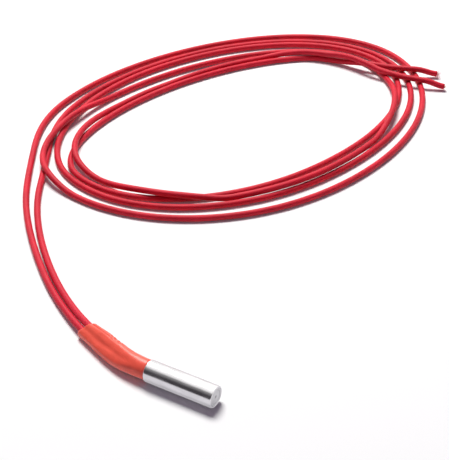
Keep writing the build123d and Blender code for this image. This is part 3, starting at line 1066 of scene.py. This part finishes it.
class HEATER_OT_sleeve(bpy.types.Operator):
    """Makes the soft sleeve with its creases"""

    bl_idname = "heater.sleeve"
    bl_label = "Make the sleeve"

    def execute(self, context):
        sizes = context.scene.heater_sleeve
        line = evenly(nurbs_line(SLEEVE_ROUTE, 24), SLEEVE_STEP)
        along = distances(line)
        total = along[-1]
        ahead = np.gradient(line, axis=0)
        ahead /= np.linalg.norm(ahead, axis=1)[:, None]
        sides = 96
        angles = np.arange(sides) * 2 * pi / sides
        rings, crease_shades, where = [], [], []
        outside = [(index, True) for index in range(len(line))]
        inside = [(index, False) for index in reversed(range(len(line)))]
        for index, is_outer in outside + inside:
            direction = Vector(ahead[index])
            level = Vector((direction.y, -direction.x, 0)).normalized()
            wide = level * cos(SLEEVE_TILT) + Vector((0, 0, sin(SLEEVE_TILT)))
            wide = (wide - direction * wide.dot(direction)).normalized()
            thick = direction.cross(wide)
            ring, crease_shade = self.section(sizes, along[index], total, angles, is_outer)
            centre = Vector(line[index])
            for (across, up, shift), depth in zip(ring, crease_shade):
                rings.append(centre + wide * across + thick * up + direction * shift)
                crease_shades.append(depth)
            where.append(along[index])
        count = len(outside) + len(inside)
        faces = ring_faces(count, sides)
        last = (count - 1) * sides
        for side in range(sides):
            beside = (side + 1) % sides
            faces.append((last + side, last + beside, beside, side))
        piece = mesh_piece("outer_sleeve", rings, faces, soft_sleeve(sizes.colour))
        map_tube(piece.data, count, sides, where)
        # The crease depths go on the mesh for the painted shade in the creases
        attribute = piece.data.attributes.new("crease_shade", "FLOAT", "POINT")
        attribute.data.foreach_set("value", crease_shades)
        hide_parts("sleeve")
        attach(piece, BODY)
        return {"FINISHED"}

    def section(self, sizes, place, total, angles, is_outer):
        """One ring of the sleeve: across, up and shift along for each angle, and crease depths for the
        painted shade.
        """
        flat = eased(min(max((place - FLATTEN_START) / FLATTEN_LENGTH, 0.0), 1.0))
        radius = sizes.round_bore + (sizes.flat_bore - sizes.round_bore) * flat
        from_end = total - place
        widest = flat * min(from_end / WIDEST_FROM_END, 1.0)
        half = FLAT_AT_MOUTH + FLAT_ADDED * flat + FLAT_WIDEST * widest
        if is_outer:
            radius += sizes.wall
        slant = max(1 - from_end / CUT_LENGTH, 0.0) ** 2
        ring, crease_shade = [], []
        for angle in angles:
            lean = min(max(cos(angle) / 0.5, -1.0), 1.0)
            lean = lean * (1.5 - 0.5 * lean * lean)
            across = radius * cos(angle) + half * lean
            up = radius * sin(angle)
            depth = 0.0
            if is_outer:
                up *= 1 - DENT_DEPTH * flat * exp(-(across / DENT_WIDTH) ** 2)
                depth = self.crease(place, from_end, angle)
                lift = 1 - sizes.crease_depth * depth / radius
                waves = Vector((place * SKIN_WAVES, 2 * cos(angle), 2 * sin(angle)))
                lift += SKIN_UNEVEN / radius * noise.noise(waves)
                across *= lift
                up *= lift
            ragged = noise.noise(Vector((cos(angle), sin(angle), 4.0)) * 2)
            shift = slant * (-CUT_LEAN * across / CUT_REACH + CUT_RAGGED * ragged)
            if is_outer:
                trim = self.edge_trim(radius, from_end, *OPEN_ROUNDING, 1)
                trim *= self.edge_trim(radius, place, *MOUTH_ROUNDING, 2)
                across *= trim
                up *= trim
            ring.append((across, up, shift))
            crease_shade.append(depth)
        return ring, crease_shade

    def edge_trim(self, radius, distance, width, depth, power):
        """How much narrower the outside is at this distance from an end, for its rounded edge."""
        return 1 - depth / radius * max(1 - distance / width, 0.0) ** power

    def crease(self, place, from_end, angle):
        """How deep the creases are at a place along the sleeve and an angle round it, 0 to 1."""
        depth = 0.0
        for start, end, centre, width, strength, slope in CREASES:
            if not start <= from_end <= end:
                continue
            share = (from_end - start) / (end - start)
            fade = sin(pi * share) if start > 0 else cos(pi / 2 * share)
            middle = centre + slope * (from_end - start)
            apart = atan2(sin(angle - middle), cos(angle - middle))
            depth = max(depth, strength * fade * exp(-(apart / width) ** 2))
        inner = max(cos(angle - INSIDE_OF_BEND), 0.0) ** 6
        for middle, width, strength in WAVES:
            off = (place - middle - WAVE_LEAN * sin(angle)) / width
            depth = max(depth, strength * inner * exp(-off ** 2))
        return depth


class HEATER_OT_sheath(bpy.types.Operator):
    """Turns the steel sheath and its end disc"""

    bl_idname = "heater.sheath"
    bl_label = "Turn the sheath"

    def execute(self, context):
        sizes = context.scene.heater_sheath
        radius = sizes.sheath_diameter / 2
        bore = radius - sizes.sheath_wall
        rounding = sizes.tip_rounding
        chamfer = MOUTH_CHAMFER
        profile = [
            (MOUTH_X, bore + chamfer), (MOUTH_X, radius - chamfer),
            (MOUTH_X + 0.4 * chamfer, radius - 0.4 * chamfer),
            (MOUTH_X + chamfer, radius - 0.1 * chamfer), (MOUTH_X + 2 * chamfer, radius),
        ]
        straight = 40
        length = TIP_X - rounding - MOUTH_X - 4 * chamfer
        for step in range(1, straight):
            profile.append((MOUTH_X + 2 * chamfer + length * step / straight, radius))
        for step in range(13):
            angle = pi / 2 * step / 12
            reach = radius - rounding + rounding * cos(angle)
            profile.append((TIP_X - rounding + rounding * sin(angle), reach))
        profile += [
            (TIP_X, bore + 0.00006), (TIP_X - 0.00003, bore + 0.00002), (TIP_X - 0.00008, bore),
            (TIP_X - DISC_THICKNESS, bore), (MOUTH_X + 0.003, bore), (MOUTH_X + chamfer, bore),
        ]
        tube = self.lathe("sheath_tube", profile, drawn_steel(sizes.steel_colour), closed=True)
        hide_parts("sheath")
        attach(tube, BODY)

        rim = bore - 0.00002
        dimple = sizes.dimple_diameter / 2
        profile = [
            (DISC_THICKNESS, 0.0), (DISC_THICKNESS, rim), (0.00012, rim), (0.00003, rim - 0.00004),
            (0.0, rim - 0.00012), (0.0, RECESS_RADIUS + 0.00022), (0.00002, RECESS_RADIUS + 0.00015),
            (0.0001, RECESS_RADIUS + 0.00003), (RECESS_DEPTH, RECESS_RADIUS - 0.00006),
            (RECESS_DEPTH, 0.0013), (RECESS_DEPTH, dimple + 0.00016), (0.000105, dimple + 0.00005),
            (0.00014, dimple - 0.00003), (0.00026, dimple * 0.55), (0.00033, dimple * 0.25),
            (DIMPLE_DEPTH, 0.0),
        ]
        profile = [(TIP_X - depth, reach) for depth, reach in profile]
        disc = self.lathe("end_cap", profile, turned_steel(sizes.steel_colour), closed=False)
        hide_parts("end_disc")
        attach(disc, BODY)
        return {"FINISHED"}

    def lathe(self, name, profile, material, closed):
        """A turned piece on the sheath's axis from its profile of places along it and radii."""
        sides = 128
        points, rings = [], []
        for x, radius in profile:
            if radius == 0.0:
                rings.append([len(points)])
                points.append((x, 0.0, AXIS_HEIGHT))
                continue
            rings.append(list(range(len(points), len(points) + sides)))
            for side in range(sides):
                angle = 2 * pi * side / sides
                points.append((x, radius * cos(angle), AXIS_HEIGHT + radius * sin(angle)))
        faces = []
        pairs = list(zip(rings, rings[1:]))
        if closed:
            pairs.append((rings[-1], rings[0]))
        for first, second in pairs:
            for side in range(sides):
                beside = (side + 1) % sides
                if len(first) == 1:
                    faces.append((first[0], second[beside], second[side]))
                elif len(second) == 1:
                    faces.append((first[side], first[beside], second[0]))
                else:
                    faces.append((first[side], first[beside], second[beside], second[side]))
        return mesh_piece(name, points, faces, material)


class HEATER_OT_inside(bpy.types.Operator):
    """Gives the parts inside the sheath and the sleeve their finishes"""

    bl_idname = "heater.inside"
    bl_label = "Finish the inside"

    def execute(self, context):
        white = fired_ceramic("fired_ceramic", (0.88, 0.84, 0.76), 0.00016, 0.00001)
        powder = fired_ceramic("packed_magnesia", (0.83, 0.81, 0.77), 0.00009, 0.00003)
        nickel = drawn_wire("nickel_wire", (0.55, 0.52, 0.49), 0.3)
        brass = drawn_wire("tinned_crimp", (0.74, 0.71, 0.64), 0.24)
        copper = drawn_wire("tinned_strands", (0.78, 0.6, 0.48), 0.26)
        yarn = glass_fibre("glass_sleeving", (0.86, 0.83, 0.76, 1.0), (0.7, 0.66, 0.58, 1.0))
        finishes = {
            "bottom_insulator": white, "core": white, "end_plug": white, "magnesia_fill": powder,
            "resistance_wire": nickel, "pin_a": nickel, "pin_b": nickel, "crimp_a": brass,
            "crimp_b": brass, "strands_a": copper, "strands_b": copper, "inner_sleeve_a": yarn,
            "inner_sleeve_b": yarn,
        }
        for name, material in finishes.items():
            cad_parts[name].material_slots[0].material = material
        return {"FINISHED"}


class HEATER_OT_declare(bpy.types.Operator):
    """Takes the noted lines of both leads off the scene again"""

    bl_idname = "heater.declare"
    bl_label = "State the leads"

    def execute(self, context):
        for letter, route in (("a", ROUTE_A), ("b", ROUTE_B)):
            del context.scene[f"heater_line_{letter}"]
        return {"FINISHED"}


class HEATER_PT_panel(bpy.types.Panel):
    """Lists the steps in the 3D view's sidebar"""

    bl_idname = "HEATER_PT_panel"
    bl_label = "Cartridge heater"
    bl_space_type = "VIEW_3D"
    bl_region_type = "UI"
    bl_category = "Heater"

    def draw(self, context):
        layout = self.layout
        for group, operator in STEPS:
            layout.operator(operator.bl_idname)
            if group:
                settings = getattr(context.scene, group)
                for name in settings.bl_rna.properties.keys():
                    if name not in ("rna_type", "name"):
                        layout.prop(settings, name)


STEPS = [
    ("heater_stage", HEATER_OT_stage),
    ("heater_leads", HEATER_OT_leads),
    ("heater_sleeve", HEATER_OT_sleeve),
    ("heater_sheath", HEATER_OT_sheath),
    (None, HEATER_OT_inside),
    (None, HEATER_OT_declare),
]
GROUPS = {
    "heater_sheath": HeaterSheathSizes,
    "heater_sleeve": HeaterSleeveSizes,
    "heater_leads": HeaterLeadSizes,
    "heater_stage": HeaterStageSettings,
}
CLASSES = [*GROUPS.values(), *[operator for _, operator in STEPS], HEATER_PT_panel]


def register():
    """Adds the classes and the settings to Blender."""
    for one in CLASSES:
        bpy.utils.register_class(one)
    for name, group in GROUPS.items():
        setattr(bpy.types.Scene, name, bpy.props.PointerProperty(type=group))


def unregister():
    """Takes the settings and the classes out again."""
    for name in GROUPS:
        delattr(bpy.types.Scene, name)
    for one in reversed(CLASSES):
        bpy.utils.unregister_class(one)


def main():
    """Runs every step in order."""
    register()
    bpy.ops.heater.stage()
    bpy.ops.heater.leads()
    bpy.ops.heater.sleeve()
    bpy.ops.heater.sheath()
    bpy.ops.heater.inside()
    bpy.ops.heater.declare()


if __name__ == "__main__":
    main()
